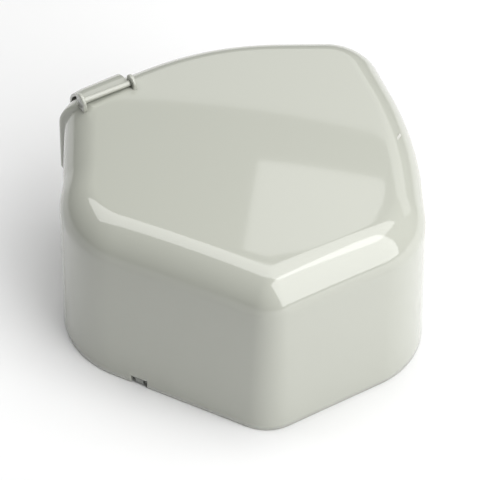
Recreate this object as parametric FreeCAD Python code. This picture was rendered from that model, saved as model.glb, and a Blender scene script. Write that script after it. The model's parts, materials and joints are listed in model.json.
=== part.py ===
import FreeCAD, Part
import math
import os

# Garage door opener power head.
# It lies on its ceiling plate with the glossy dome up, in millimetres.
# +Z is up, the front face looks to -Y, +Y runs towards the rail and X is across.
# The origin is the centre of the ceiling bolt pattern, on the plate's mounting face.

# ---------------------------------------------------------------- housing
HOUSING_HEIGHT = 136.0      # mounting face to the top of the walls' rounding
TOP_CROWN = 6.0             # how much the top swells above that
FRONT_DEPTH = 125.0         # front face to the bolt pattern's centre
FRONT_HALF = 85.0           # half width of the front face
RIGHT_X = 162.0             # right corner, beside the centre line
RIGHT_DEPTH = 105.5         # right corner, behind the front face
REAR_X = 37.5               # rear corner
REAR_DEPTH = 288.0
LEFT_X = -151.0             # left corner
LEFT_DEPTH = 122.0
SIDE_BULGE = 17.5           # swell of the right rear wall
REAR_BULGE = 31.0           # swell of the left rear wall
RECESS = 6.0                # the left wall stands back by this much
RECESS_START = 60.0         # length of the slant that leads into it
FRONT_LEFT_R = 70.0         # plan radii of the corners
FRONT_RIGHT_R = 33.0
RIGHT_R = 64.0
REAR_R = 48.0
LEFT_R = 50.0
HOOD_CORNER_R = 42.0
RECESS_R = 30.0
TOP_ROUND = 24.0            # rounding between the walls and the top
DRAFT_DEG = 3.6             # wall lean
COVER_WALL = 2.6            # plastic wall
RIM_LIFT = 0.4              # cover rim above the mounting face
HOOD_UNDERSIDE = 66.0       # lower edge of the hood over the left corner
HOOD_BEFORE = 14.0          # hood begins this far before the left corner
HOOD_REACH = 60.0           # how far the hood's form runs in from the corner wall
HOOD_SINK = 0.5             # hood's surface below the dome's where they merge
HOOD_EDGE = 4.0             # rounding of the hood's free edge

# ---------------------------------------------------------------- hinge and flap
PIN_R = 1.1
PIN_INSET = 34.0            # wall line to the hinge pin
PIN_LIFT = 5.4              # pin axis above the wall rounding's top
FLAP_ALONG = 34.0           # left corner to the middle of the flap
EAR_SPREAD = 20.0           # middle of the flap to each ear
EAR_R = 6.0
EAR_THICK = 3.0
KNUCKLE_R = 2.1
FLAP_THICK = 2.0
FLAP_GAP = 0.6
RUN_GAP = 0.05              # radial clearance of a running fit
MOVE_GAP = 0.4              # clearance beside a moving piece

# ---------------------------------------------------------------- chassis plate
PLATE_THICK = 1.6
PLATE_LIP = 12.0            # height of the upturned lip
PLATE_GAP = 0.7             # lip to cover wall
MOUNT_HOLE_R = 3.3
MOUNT_SPACING_X = 150.0
MOUNT_SPACING_Y = 110.0

# ---------------------------------------------------------------- rail socket
RAIL_WIDTH = 44.0
RAIL_HEIGHT = 34.0
RAIL_WALL = 2.0
RAIL_LENGTH = 44.0
RAIL_X = 34.0               # centre line of the rail and the drive
RAIL_END_DEPTH = 266.0      # front face to the mouth of the socket
RAIL_BOLT_R = 3.0

# ---------------------------------------------------------------- gears and drive
WHEEL_TEETH = 30
GEAR_MODULE = 1.9
WHEEL_WIDTH = 8.0
WHEEL_DEPTH = 178.0         # front face to the output shaft
WORM_PITCH_R = 8.0
DRIVE_Z = 46.0              # height of the worm axis and wheel centre
TOOTH_HALF = 1.15           # half tooth thickness on the pitch line
OUTPUT_R = 6.0
SPROCKET_TEETH = 9
SPROCKET_PITCH = 9.525
SPROCKET_WIDTH = 6.0
SPROCKET_Z = 18.0
CASE_WALL = 4.0
CASE_HALF_X = 27.0          # half length of the worm's tunnel
CASE_SCREW_R = 1.6
BUSH_THICK = 3.0

# ---------------------------------------------------------------- motor
MOTOR_R = 31.0
MOTOR_SKIN = 2.2
MOTOR_LENGTH = 76.0
MOTOR_OFFSET = 44.0         # rail centre line to the motor's near face
MOTOR_SHAFT_R = 4.0
ROTOR_R = 22.0
AIR_GAP = 0.8
BELL_THICK = 6.0
CAP_THICK = 6.0
BEARING_R = 9.0
BEARING_WIDTH = 6.0
BRUSH_SPACE = 30.0          # rear face to the rotor core
COIL_END = 6.0              # length of the winding ends
ROTOR_SLOTS = 10
STRAP_THICK = 1.2
ENCODER_SLOTS = 16

# ---------------------------------------------------------------- electrics
BOARD_WIDTH = 124.0
BOARD_DEPTH = 76.0
BOARD_THICK = 1.6
BOARD_Z = 14.0
BOARD_FRONT = 24.0          # front face to the board's near edge
BUTTON_R = 4.0
BUTTON_TRAVEL = 1.5
BUTTON_GRID = 9.5           # button to button
BUTTON_Z = 90.0
DIAL_R = 5.0
DIAL_GRID = 14.0            # dial to dial
DIAL_Z = 77.0
PANEL_Y = -17.0             # panel's back face, inwards from the wall line
PANEL_HALF = 15.0
PANEL_LOW = 68.0
PANEL_HIGH = 100.0
PANEL_THICK = 1.6
WINDOW_HALF = 13.0          # opening under the flap, half its width and height
WINDOW_Z = 84.0
INLET_X = -32.0             # appliance inlet beside the rail
INLET_BACK = 24.0           # inlet mouth, before the rail socket's mouth
INLET_HALF = 12.5
INLET_LIFT = 4.0            # inlet body above the plate
INLET_RISE = 21.0
INLET_LENGTH = 26.0
INLET_WALL = 2.5
TRANS_X = 98.0              # transformer
TRANS_DEPTH = 136.0
CORE_X = 62.0
CORE_Y = 26.0
CORE_Z = 52.0
LAMP_X = 103.0              # lamp holder
LAMP_DEPTH = 84.0
BULB_R = 15.0
LATCH_X = -17.0             # latch in the front rim
LATCH_WIDTH = 13.0
LATCH_HEIGHT = 7.0
LATCH_TRAVEL = 3.0

FRONT_Y = -FRONT_DEPTH
LEAN = math.tan(math.radians(DRAFT_DEG))
CENTRE_DISTANCE = GEAR_MODULE * WHEEL_TEETH / 2 + WORM_PITCH_R
WHEEL_Y = FRONT_Y + WHEEL_DEPTH
WORM_Y = WHEEL_Y - CENTRE_DISTANCE
RAIL_END_Y = FRONT_Y + RAIL_END_DEPTH
PIN_Z = HOUSING_HEIGHT + PIN_LIFT
MOTOR_START_X = RAIL_X - MOTOR_OFFSET
MOTOR_END_X = MOTOR_START_X - MOTOR_LENGTH
CORE_START_X = MOTOR_END_X + BRUSH_SPACE
CORE_LENGTH = MOTOR_LENGTH - BELL_THICK - COIL_END - BRUSH_SPACE - 2.0
BOARD_TOP = BOARD_Z + BOARD_THICK
INLET_END_Y = RAIL_END_Y - INLET_BACK
INLET_Z = PLATE_THICK + INLET_LIFT
BUTTON_OFFSETS = (-BUTTON_GRID, 0.0, BUTTON_GRID)
DIAL_OFFSETS = (-DIAL_GRID / 2, DIAL_GRID / 2)
X_AXIS = FreeCAD.Vector(1, 0, 0)
Y_AXIS = FreeCAD.Vector(0, 1, 0)
Z_AXIS = FreeCAD.Vector(0, 0, 1)

parts = {}


# ================================================================ plain shapes
def vec(x, y, z=0.0):
    return FreeCAD.Vector(x, y, z)


def block(x0, x1, y0, y1, z0, z1):
    return Part.makeBox(x1 - x0, y1 - y0, z1 - z0, vec(x0, y0, z0))


def rod(start, axis, radius, length):
    return Part.makeCylinder(radius, length, start, axis)


def ring(start, axis, outer, inner, length):
    return rod(start, axis, outer, length).cut(rod(start, axis, inner, length))


def join(shapes):
    result = shapes[0]
    if len(shapes) > 1:
        result = result.fuse(shapes[1:])
    return result.removeSplitter()


def group(shapes):
    return Part.makeCompound(shapes)


def soften(shape, radius, wanted):
    edges = [edge for edge in shape.Edges if wanted(edge)]
    return shape.makeFillet(radius, edges)


def upright(edge):
    box = edge.BoundBox
    return box.ZLength > 1.0 and box.XLength < 0.01 and box.YLength < 0.01


# ================================================================ housing plan
def swell(start, end, bulge):
    """Middle point of a side, pushed outwards by the bulge."""
    along = end - start
    along.normalize()
    return (start + end) * 0.5 + vec(along.y, -along.x) * bulge


def plan_corners(recessed):
    """Corner points and their radii from above, anticlockwise from the front left."""
    front_left = vec(-FRONT_HALF, FRONT_Y)
    front_right = vec(FRONT_HALF, FRONT_Y)
    right = vec(RIGHT_X, FRONT_Y + RIGHT_DEPTH)
    rear = vec(REAR_X, FRONT_Y + REAR_DEPTH)
    left = vec(LEFT_X, FRONT_Y + LEFT_DEPTH)
    side_middle = swell(right, rear, SIDE_BULGE)
    rear_middle = swell(rear, left, REAR_BULGE)
    points = [front_left, front_right, right, side_middle, rear, rear_middle]
    radii = [FRONT_LEFT_R, FRONT_RIGHT_R, RIGHT_R, None, REAR_R, None]
    if not recessed:
        return points + [left], radii + [HOOD_CORNER_R]
    along = left - front_left
    along.normalize()
    inward = vec(along.y, -along.x)
    back_wall = rear_middle - left
    back_wall.normalize()
    set_back = left + back_wall * (RECESS / back_wall.dot(inward))
    bend = front_left + along * RECESS_START + inward * RECESS
    return points + [set_back, bend], radii + [LEFT_R, -RECESS_R]


def inset_points(points, inset):
    """Move every side of an anticlockwise polygon inwards by the same distance."""
    count = len(points)
    lines = []
    for index in range(count):
        start = points[index]
        along = points[(index + 1) % count] - start
        along.normalize()
        inward = vec(-along.y, along.x)
        lines.append((start + inward * inset, along))
    corners = []
    for index in range(count):
        before, before_dir = lines[index - 1]
        after, after_dir = lines[index]
        gap = after - before
        cross = before_dir.x * after_dir.y - before_dir.y * after_dir.x
        reach = (gap.x * after_dir.y - gap.y * after_dir.x) / cross
        corners.append(before + before_dir * reach)
    return corners


def swell_radius(points, index):
    """Radius that lets a swollen side's middle bend take 42 % of its shorter half."""
    before, here, after = points[index - 1], points[index], points[(index + 1) % len(points)]
    back = before - here
    ahead = after - here
    half = back.getAngle(ahead) / 2
    return 0.42 * min(back.Length, ahead.Length) * math.tan(half)


def rounded_wire(points, radii, z):
    """Closed outline at height z, with an arc of its own radius at each corner."""
    count = len(points)
    arcs = []
    for index in range(count):
        corner = points[index]
        back = points[index - 1] - corner
        ahead = points[(index + 1) % count] - corner
        back.normalize()
        ahead.normalize()
        half = back.getAngle(ahead) / 2
        reach = radii[index] / math.tan(half)
        middle = back + ahead
        middle.normalize()
        tip = corner + middle * (radii[index] / math.sin(half) - radii[index])
        arcs.append([corner + back * reach, tip, corner + ahead * reach])
    edges = []
    for index in range(count):
        first, tip, last = [vec(point.x, point.y, z) for point in arcs[index]]
        edges.append(Part.Arc(first, tip, last).toShape())
        following = arcs[(index + 1) % count][0]
        edges.append(Part.makeLine(last, vec(following.x, following.y, z)))
    return Part.Wire(edges)


def housing_wire(inset, z, recessed=True):
    """Housing outline at height z, inset from the leaning outer wall."""
    total = inset + z * LEAN
    points, base = plan_corners(recessed)
    radii = []
    for index, radius in enumerate(base):
        outer = swell_radius(points, index) if radius is None else radius
        radii.append(abs(outer - total))
    return rounded_wire(inset_points(points, total), radii, z)


def housing_slab(inset, z0, z1):
    return Part.makeLoft([housing_wire(inset, z0), housing_wire(inset, z1)], True, True)


def dome_solid(inset, z0, recessed=True):
    """Leaning walls, a slightly swollen top and the large rounding between them."""
    peak = HOUSING_HEIGHT + TOP_CROWN - inset
    wires = [housing_wire(inset, z, recessed) for z in (z0, peak + 1)]
    walls = Part.makeLoft(wires, True, True)
    reach = (RIGHT_X - LEFT_X) / 2 - TOP_ROUND
    ball_r = (reach ** 2 + TOP_CROWN ** 2) / (2 * TOP_CROWN)
    ball_y = FRONT_Y + REAR_DEPTH * 0.46
    ball = Part.makeSphere(ball_r - inset, vec((RIGHT_X + LEFT_X) / 2, ball_y, peak + inset - ball_r))
    body = walls.common(ball)

    def top_rim(edge):
        return edge.BoundBox.ZMin > HOUSING_HEIGHT / 2 and edge.BoundBox.ZLength < HOUSING_HEIGHT / 4

    return soften(body, TOP_ROUND - inset, top_rim)


def hooded_solid(inset, z0):
    """The recessed dome, with its left corner full again above the hood's lower edge."""
    points, _ = plan_corners(False)
    front_left, corner = points[0], points[-1]
    along = corner - front_left
    along.normalize()
    inward = vec(along.y, -along.x)
    start = corner - along * (HOOD_BEFORE - inset)
    low = HOOD_UNDERSIDE + inset
    near = start - inward * HOOD_REACH / 2
    far = start + inward * (HOOD_REACH - inset)
    past = along * HOOD_REACH * 2
    corners = [vec(point.x, point.y, low) for point in (near, far, far + past, near + past)]
    region = Part.Face(Part.makePolygon(corners + corners[:1])).extrude(vec(0, 0, HOUSING_HEIGHT))
    hood = dome_solid(inset + HOOD_SINK, 0, False).common(region)

    def free_edge(edge):
        ends = [vertex.Point for vertex in edge.Vertexes]
        flat = [abs((point - start).dot(along)) < 0.01 for point in ends]
        outer = [(point - start).dot(inward) < HOOD_REACH * 0.8 for point in ends]
        return all(flat) and all(outer) and max(point.z for point in ends) > low + 1

    hood = soften(hood, HOOD_EDGE - inset, free_edge)
    return dome_solid(inset, z0).fuse(hood)


def at_flap(shape):
    """Turn a shape from the flap's own frame: X along the wall, +Y out of it."""
    points, _ = plan_corners(False)
    corner, rear_middle = points[-1], points[-2]
    along = rear_middle - corner
    along.normalize()
    angle = math.degrees(math.atan2(along.y, along.x))
    placed = shape.copy()
    placed.rotate(vec(0, 0, 0), Z_AXIS, angle)
    placed.translate(corner + along * FLAP_ALONG)
    return placed


# ================================================================ cover, hinge and flap
def wall_block(width, low, high, inner, outer):
    """Block on the front wall line at the latch, between two distances outwards."""
    return block(LATCH_X - width / 2, LATCH_X + width / 2, FRONT_Y - outer, FRONT_Y - inner, low, high)


def ear(x):
    """Half-round hinge ear standing on the top face."""
    disc = rod(vec(x - EAR_THICK / 2, -PIN_INSET, PIN_Z), X_AXIS, EAR_R, EAR_THICK)
    foot = block(x - EAR_THICK / 2, x + EAR_THICK / 2, -PIN_INSET - EAR_R, -PIN_INSET + EAR_R,
                 HOUSING_HEIGHT - TOP_ROUND / 2, PIN_Z)
    return disc.fuse(foot)


def top_cover():
    ears = [at_flap(ear(side * EAR_SPREAD)) for side in (-1, 1)]
    shell = hooded_solid(0, RIM_LIFT).fuse(ears).cut(hooded_solid(COVER_WALL, -1.0))
    pin_hole = at_flap(rod(vec(-2 * EAR_SPREAD, -PIN_INSET, PIN_Z), X_AXIS, PIN_R, 4 * EAR_SPREAD))
    rail_door = block(RAIL_X - RAIL_WIDTH / 2 - 3, RAIL_X + RAIL_WIDTH / 2 + 3,
                      RAIL_END_Y - RAIL_LENGTH, RAIL_END_Y + 60, -1, RAIL_HEIGHT + PLATE_THICK + 12)
    inlet_door = block(INLET_X - INLET_HALF - 1.5, INLET_X + INLET_HALF + 1.5,
                       INLET_END_Y - 10, INLET_END_Y + 60, -1, INLET_Z + INLET_RISE + 1.5)
    window = block(-WINDOW_HALF, WINDOW_HALF, -20, 10, WINDOW_Z - WINDOW_HALF, WINDOW_Z + WINDOW_HALF)
    window = at_flap(soften(window, 3.0, lambda edge: edge.BoundBox.YLength > 5))
    notch = wall_block(LATCH_WIDTH, -1, LATCH_HEIGHT, -8, 4)
    return shell.cut([pin_hole, rail_door, inlet_door, window, notch]).removeSplitter()


def hinge_pin():
    half = EAR_SPREAD + EAR_THICK / 2
    return at_flap(rod(vec(-half, -PIN_INSET, PIN_Z), X_AXIS, PIN_R, 2 * half))


def access_flap():
    """Thin leaf that follows the cover's shoulder, with a knuckle round the pin."""
    half = EAR_SPREAD - EAR_THICK / 2 - MOVE_GAP
    outer = dome_solid(-FLAP_GAP - FLAP_THICK, 0, False)
    inner = dome_solid(-FLAP_GAP, -1, False)
    strip = at_flap(block(-half, half, -PIN_INSET, 20, HOUSING_HEIGHT / 2, PIN_Z + 10))
    leaf = outer.cut(inner).common(strip)
    knuckle = rod(vec(-half, -PIN_INSET, PIN_Z), X_AXIS, KNUCKLE_R, 2 * half)
    heel = block(-half, half, -PIN_INSET, -PIN_INSET + KNUCKLE_R, HOUSING_HEIGHT - TOP_ROUND / 2, PIN_Z)
    heel = at_flap(heel).cut(inner)
    bore = rod(vec(-2 * half, -PIN_INSET, PIN_Z), X_AXIS, PIN_R + RUN_GAP, 4 * half)
    return join([leaf, at_flap(knuckle), heel]).cut(at_flap(bore))


def latch_button():
    """Press tab in the rim notch, with its guide behind the plate's lip."""
    nub = wall_block(LATCH_WIDTH - 7, PLATE_THICK + MOVE_GAP, LATCH_HEIGHT - 1.0, -8.0, -0.8)
    guide = wall_block(LATCH_WIDTH + 3, PLATE_THICK + MOVE_GAP, LATCH_HEIGHT + 2.0, -10.5, -8.0)
    return join([nub, guide])


# ================================================================ chassis
def mount_points():
    return [(sx * MOUNT_SPACING_X / 2, sy * MOUNT_SPACING_Y / 2) for sx in (-1, 1) for sy in (-1, 1)]


def base_plate():
    """Pressed steel plate with an upturned lip, mounting holes and vents."""
    inset = COVER_WALL + PLATE_GAP
    high = PLATE_THICK + PLATE_LIP
    outer = housing_slab(inset, 0, high)
    inner = housing_slab(inset + PLATE_THICK, PLATE_THICK, high + 1)
    tray = outer.cut(inner)
    cuts = [rod(vec(x, y, -1), Z_AXIS, MOUNT_HOLE_R, PLATE_THICK + 2) for x, y in mount_points()]
    for index in range(7):
        x = MOTOR_END_X + 8 + index * 9.0
        slot = block(x - 2, x + 2, WORM_Y - 26, WORM_Y + 26, -1, PLATE_THICK + 1)
        cuts.append(soften(slot, 1.9, upright))
    cuts.append(block(RAIL_X - RAIL_WIDTH / 2 - 2, RAIL_X + RAIL_WIDTH / 2 + 2, RAIL_END_Y - RAIL_LENGTH,
                      RAIL_END_Y + 60, PLATE_THICK, high + 2))
    cuts.append(block(INLET_X - INLET_HALF - 2, INLET_X + INLET_HALF + 2, INLET_END_Y - 30,
                      INLET_END_Y + 60, PLATE_THICK, high + 2))
    cuts.append(wall_block(LATCH_WIDTH + 4, PLATE_THICK, high + 2, -14, 2))
    return tray.cut(cuts)


def latch_keeper():
    """Folded stop behind the latch tab, standing on the plate."""
    near = LATCH_TRAVEL + 13.0
    wall = wall_block(LATCH_WIDTH + 6, PLATE_THICK, LATCH_HEIGHT + 3, -near - 1.6, -near)
    foot = wall_block(LATCH_WIDTH + 6, PLATE_THICK, PLATE_THICK + 1.2, -near - 10, -near)
    return join([wall, foot])


def latch_spring():
    """Coil between the keeper and the latch tab."""
    gap = 5.0
    coil = Part.makeHelix(gap / 4, gap, 1.7)
    profile = Part.Wire(Part.makeCircle(0.3, vec(1.7, 0, 0), Y_AXIS))
    spring = Part.Wire(coil.Edges).makePipeShell([profile], True, True)
    spring.rotate(vec(0, 0, 0), X_AXIS, 90)
    spring.translate(vec(LATCH_X, FRONT_Y + 15.75, LATCH_HEIGHT - 1.6))
    return spring


def hex_bolt(x, y, z, shank_r, shank, head_r, head):
    """Bolt pointing down from z, with a six-sided head above z."""
    corners = [vec(x + head_r * math.cos(k * math.pi / 3), y + head_r * math.sin(k * math.pi / 3), z)
               for k in range(6)]
    cap = Part.Face(Part.makePolygon(corners + corners[:1])).extrude(vec(0, 0, head))
    return cap.fuse(rod(vec(x, y, z - shank), Z_AXIS, shank_r, shank))


def rail_bolt_places():
    middle = RAIL_END_Y - RAIL_LENGTH * 0.45
    return [(RAIL_X + sx * RAIL_WIDTH * 0.27, middle + sy * RAIL_LENGTH * 0.25)
            for sx in (-1, 1) for sy in (-1, 1)]


def rail_channel():
    """Steel socket that takes the end of the door rail."""
    y0, y1 = RAIL_END_Y - RAIL_LENGTH, RAIL_END_Y
    half = RAIL_WIDTH / 2
    low, high = PLATE_THICK, PLATE_THICK + RAIL_HEIGHT
    outer = block(RAIL_X - half, RAIL_X + half, y0, y1, low, high)
    inner = block(RAIL_X - half + RAIL_WALL, RAIL_X + half - RAIL_WALL, y0 - 1, y1 + 1,
                  low + RAIL_WALL, high - RAIL_WALL)
    wings = block(RAIL_X - half - 10, RAIL_X + half + 10, y0 + 2, y0 + 14, low, low + RAIL_WALL)
    socket = join([outer, wings]).cut(inner)
    holes = [rod(vec(x, y, high - RAIL_WALL - 1), Z_AXIS, RAIL_BOLT_R, RAIL_WALL + 2)
             for x, y in rail_bolt_places()]
    return socket.cut(holes)


def rail_clamp_bolts():
    high = PLATE_THICK + RAIL_HEIGHT
    return group([hex_bolt(x, y, high, RAIL_BOLT_R, RAIL_WALL, 5.5, 4.0) for x, y in rail_bolt_places()])


# ================================================================ drive train
def gear_wheel():
    """Worm wheel: a rim of tapered teeth on a webbed hub."""
    pitch_r = GEAR_MODULE * WHEEL_TEETH / 2
    root_r = pitch_r - 1.2 * GEAR_MODULE
    tip_r = pitch_r + 0.9 * GEAR_MODULE
    low = DRIVE_Z - WHEEL_WIDTH / 2
    solids = [ring(vec(RAIL_X, WHEEL_Y, low), Z_AXIS, root_r, root_r - 5, WHEEL_WIDTH),
              rod(vec(RAIL_X, WHEEL_Y, low), Z_AXIS, OUTPUT_R + 5, WHEEL_WIDTH),
              rod(vec(RAIL_X, WHEEL_Y, DRIVE_Z - 1.6), Z_AXIS, root_r - 4, 3.2)]
    start_angle = -math.pi / 2
    for index in range(WHEEL_TEETH):
        angle = start_angle + (index + 0.5) * 2 * math.pi / WHEEL_TEETH
        radial = vec(math.cos(angle), math.sin(angle))
        across = vec(-radial.y, radial.x)
        root_half = TOOTH_HALF + 1.2 * GEAR_MODULE * math.tan(math.radians(18))
        tip_half = TOOTH_HALF - 0.9 * GEAR_MODULE * math.tan(math.radians(18))
        hub = vec(RAIL_X, WHEEL_Y, low)
        corners = [hub + radial * (root_r - 0.6) - across * root_half,
                   hub + radial * tip_r - across * tip_half,
                   hub + radial * tip_r + across * tip_half,
        hub + radial * (root_r - 0.6) + across * root_half]
        solids.append(Part.Face(Part.makePolygon(corners + corners[:1])).extrude(vec(0, 0, WHEEL_WIDTH)))
    wheel = join(solids)
    return wheel.cut(rod(vec(RAIL_X, WHEEL_Y, low - 1), Z_AXIS, OUTPUT_R, WHEEL_WIDTH + 2))


def worm_thread():
    """One-start thread whose turn matches one tooth of the wheel."""
    pitch = math.pi * GEAR_MODULE
    turns = 4
    root_r = WORM_PITCH_R - 1.1 * GEAR_MODULE
    tip_r = WORM_PITCH_R + 0.9 * GEAR_MODULE
    slope = math.tan(math.radians(18))
    root_half = TOOTH_HALF + 1.1 * GEAR_MODULE * slope
    tip_half = TOOTH_HALF - 0.9 * GEAR_MODULE * slope
    sink = 0.5
    corners = [vec(root_r - sink, 0, -root_half), vec(tip_r, 0, -tip_half),
               vec(tip_r, 0, tip_half), vec(root_r - sink, 0, root_half)]
    profile = Part.makePolygon(corners + corners[:1])
    helix = Part.makeHelix(pitch, pitch * turns, root_r)
    thread = Part.Wire(helix.Edges).makePipeShell([profile], True, True)
    thread.translate(vec(0, 0, -pitch * turns / 2))
    core = rod(vec(0, 0, -pitch * turns / 2 - 2), Z_AXIS, root_r, pitch * turns + 4)
    worm = core.fuse(thread)
    worm.rotate(vec(0, 0, 0), Y_AXIS, 90)
    worm.rotate(vec(0, 0, 0), X_AXIS, 90)
    worm.translate(vec(RAIL_X, WORM_Y, DRIVE_Z))
    return worm


def rotor_shaft():
    start = MOTOR_START_X - MOTOR_LENGTH - 13
    end = RAIL_X + CASE_HALF_X - 1.5
    shaft = rod(vec(start, WORM_Y, DRIVE_Z), X_AXIS, MOTOR_SHAFT_R, end - start)
    return shaft.fuse(worm_thread())


def case_solid(grow):
    """Outer or inner form of the gear case, grown from the moving pieces."""
    wheel_r = GEAR_MODULE * WHEEL_TEETH / 2 + 0.9 * GEAR_MODULE + 1.5 + grow
    worm_r = WORM_PITCH_R + 0.9 * GEAR_MODULE + 1.5 + grow
    half_high = WHEEL_WIDTH / 2 + 1.0 + grow
    round_part = rod(vec(RAIL_X, WHEEL_Y, DRIVE_Z - half_high), Z_AXIS, wheel_r, 2 * half_high)
    worm_half = CASE_HALF_X - CASE_WALL * 2 + grow * 2
    tunnel = block(RAIL_X - worm_half, RAIL_X + worm_half, WORM_Y - worm_r, WORM_Y + worm_r,
                   DRIVE_Z - worm_r, DRIVE_Z + worm_r)
    return round_part.fuse(tunnel)


def case_screw_places():
    reach = GEAR_MODULE * WHEEL_TEETH / 2 + 9.5
    places = []
    for angle in (15, 70, 110, 165):
        turn = math.radians(angle)
        places.append((RAIL_X + reach * math.cos(turn), WHEEL_Y + reach * math.sin(turn)))
    worm_edge = WORM_Y - WORM_PITCH_R - 11.5
    return places + [(RAIL_X - 19.0, worm_edge), (RAIL_X + 19.0, worm_edge)]


def case_parts():
    """Lower and upper halves of the gear case, split at the drive height."""
    bosses = [rod(vec(x, y, DRIVE_Z - 10), Z_AXIS, 5.0, 20) for x, y in case_screw_places()]
    neck = rod(vec(RAIL_X, WHEEL_Y, DRIVE_Z - 20), Z_AXIS, 13.0, 38)
    bell_seat = rod(vec(MOTOR_START_X, WORM_Y, DRIVE_Z), X_AXIS, 17.0, MOTOR_OFFSET - CASE_HALF_X + 2)
    outside = join([case_solid(CASE_WALL), neck, bell_seat] + bosses)
    holes = [case_solid(0.0)]
    holes.append(rod(vec(RAIL_X, WHEEL_Y, 0), Z_AXIS, OUTPUT_R + BUSH_THICK, 2 * DRIVE_Z))
    holes.append(rod(vec(MOTOR_START_X - 1, WORM_Y, DRIVE_Z), X_AXIS, MOTOR_SHAFT_R + 4,
                     MOTOR_OFFSET + CASE_HALF_X))
    holes += [rod(vec(x, y, DRIVE_Z - 8), Z_AXIS, CASE_SCREW_R, 30) for x, y in case_screw_places()]
    hollow = outside.cut(holes)
    below = block(RAIL_X - 90, RAIL_X + 90, WHEEL_Y - 90, WHEEL_Y + 90, 0, DRIVE_Z)
    above = block(RAIL_X - 90, RAIL_X + 90, WHEEL_Y - 90, WHEEL_Y + 90, DRIVE_Z, 2 * DRIVE_Z)
    legs = []
    for x, y in case_screw_places():
        legs.append(rod(vec(x, y, PLATE_THICK), Z_AXIS, 4.2, DRIVE_Z - 10 - PLATE_THICK))
    lower = join([hollow.common(below)] + legs)
    return lower, hollow.common(above)


def case_screws():
    return group([hex_bolt(x, y, DRIVE_Z + 10, CASE_SCREW_R, 16, 3.4, 2.6) for x,
                  y in case_screw_places()])


def output_shaft():
    low = PLATE_THICK + 1.0
    return rod(vec(RAIL_X, WHEEL_Y, low), Z_AXIS, OUTPUT_R, DRIVE_Z + 17 - low)


def shaft_bushes():
    outer = OUTPUT_R + BUSH_THICK
    inner = OUTPUT_R + RUN_GAP
    lower = ring(vec(RAIL_X, WHEEL_Y, DRIVE_Z - 20), Z_AXIS, outer, inner, 14)
    upper = ring(vec(RAIL_X, WHEEL_Y, DRIVE_Z + 6), Z_AXIS, outer, inner, 12)
    foot = ring(vec(RAIL_X, WHEEL_Y, PLATE_THICK), Z_AXIS, outer + 3, inner, 5)
    return group([lower, upper, foot])


def drive_sprocket():
    """Toothed sprocket: round seats for the chain rollers cut in a disc."""
    pitch_r = SPROCKET_PITCH / (2 * math.sin(math.pi / SPROCKET_TEETH))
    low = SPROCKET_Z - SPROCKET_WIDTH / 2
    disc = rod(vec(RAIL_X, WHEEL_Y, low), Z_AXIS, pitch_r + 2.2, SPROCKET_WIDTH)
    seats = []
    for index in range(SPROCKET_TEETH):
        angle = (index + 0.5) * 2 * math.pi / SPROCKET_TEETH
        seat = vec(RAIL_X + pitch_r * math.cos(angle), WHEEL_Y + pitch_r * math.sin(angle), low - 1)
        seats.append(rod(seat, Z_AXIS, 3.3, SPROCKET_WIDTH + 2))
    hub = rod(vec(RAIL_X, WHEEL_Y, SPROCKET_Z - 8), Z_AXIS, OUTPUT_R + BUSH_THICK, 14)
    toothed = disc.cut(seats).fuse(hub)
    return toothed.cut(rod(vec(RAIL_X, WHEEL_Y, 0), Z_AXIS, OUTPUT_R, 60)).removeSplitter()


# ================================================================ motor
def along_x(x, radius, length):
    return rod(vec(x, WORM_Y, DRIVE_Z), X_AXIS, radius, length)


def tube_x(x, outer, inner, length):
    return ring(vec(x, WORM_Y, DRIVE_Z), X_AXIS, outer, inner, length)


def motor_can():
    can = tube_x(MOTOR_END_X + CAP_THICK, MOTOR_R, MOTOR_R - MOTOR_SKIN,
                 MOTOR_LENGTH - BELL_THICK - CAP_THICK)
    return can


def motor_front_bell():
    x0 = MOTOR_START_X - BELL_THICK
    plate = tube_x(x0, MOTOR_R, BEARING_R, BELL_THICK)
    return plate


def motor_rear_cap():
    plate = tube_x(MOTOR_END_X, MOTOR_R, BEARING_R, CAP_THICK)
    slots = []
    for index in range(6):
        slot = block(MOTOR_END_X - 1, MOTOR_END_X + CAP_THICK + 1, WORM_Y - 3, WORM_Y + 3,
                     DRIVE_Z + 14, DRIVE_Z + 25)
        slot.rotate(vec(0, WORM_Y, DRIVE_Z), X_AXIS, index * 60 + 30)
        slots.append(slot)
    return plate.cut(slots)


def motor_magnets():
    inner = ROTOR_R + AIR_GAP
    x0 = CORE_START_X - 2
    length = CORE_LENGTH + 4
    whole = tube_x(x0, MOTOR_R - MOTOR_SKIN, inner, length)
    gap = block(x0 - 1, x0 + length + 1, WORM_Y - 8, WORM_Y + 8, DRIVE_Z - 40, DRIVE_Z + 40)
    return whole.cut(gap)


def rotor_core():
    """Laminated core with winding slots."""
    x0, x1 = CORE_START_X - 1, CORE_START_X + CORE_LENGTH + 1
    core = tube_x(CORE_START_X, ROTOR_R, MOTOR_SHAFT_R, CORE_LENGTH)
    slots = []
    for index in range(ROTOR_SLOTS):
        slot = block(x0, x1, WORM_Y - 2.2, WORM_Y + 2.2, DRIVE_Z + 11, DRIVE_Z + 20)
        mouth = block(x0, x1, WORM_Y - 0.9, WORM_Y + 0.9, DRIVE_Z + 19, DRIVE_Z + 24)
        cut = slot.fuse(mouth)
        cut.rotate(vec(0, WORM_Y, DRIVE_Z), X_AXIS, index * 360 / ROTOR_SLOTS)
        slots.append(cut)
    return core.cut(slots)


def rotor_windings():
    front = tube_x(CORE_START_X + CORE_LENGTH, 19.0, MOTOR_SHAFT_R, COIL_END)
    back = tube_x(CORE_START_X - COIL_END, 19.0, MOTOR_SHAFT_R, COIL_END)
    shaped = [soften(piece, 1.8, lambda edge: edge.BoundBox.XLength < 0.01 and edge.BoundBox.YLength > 30)
              for piece in (front, back)]
    return group(shaped)


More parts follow.
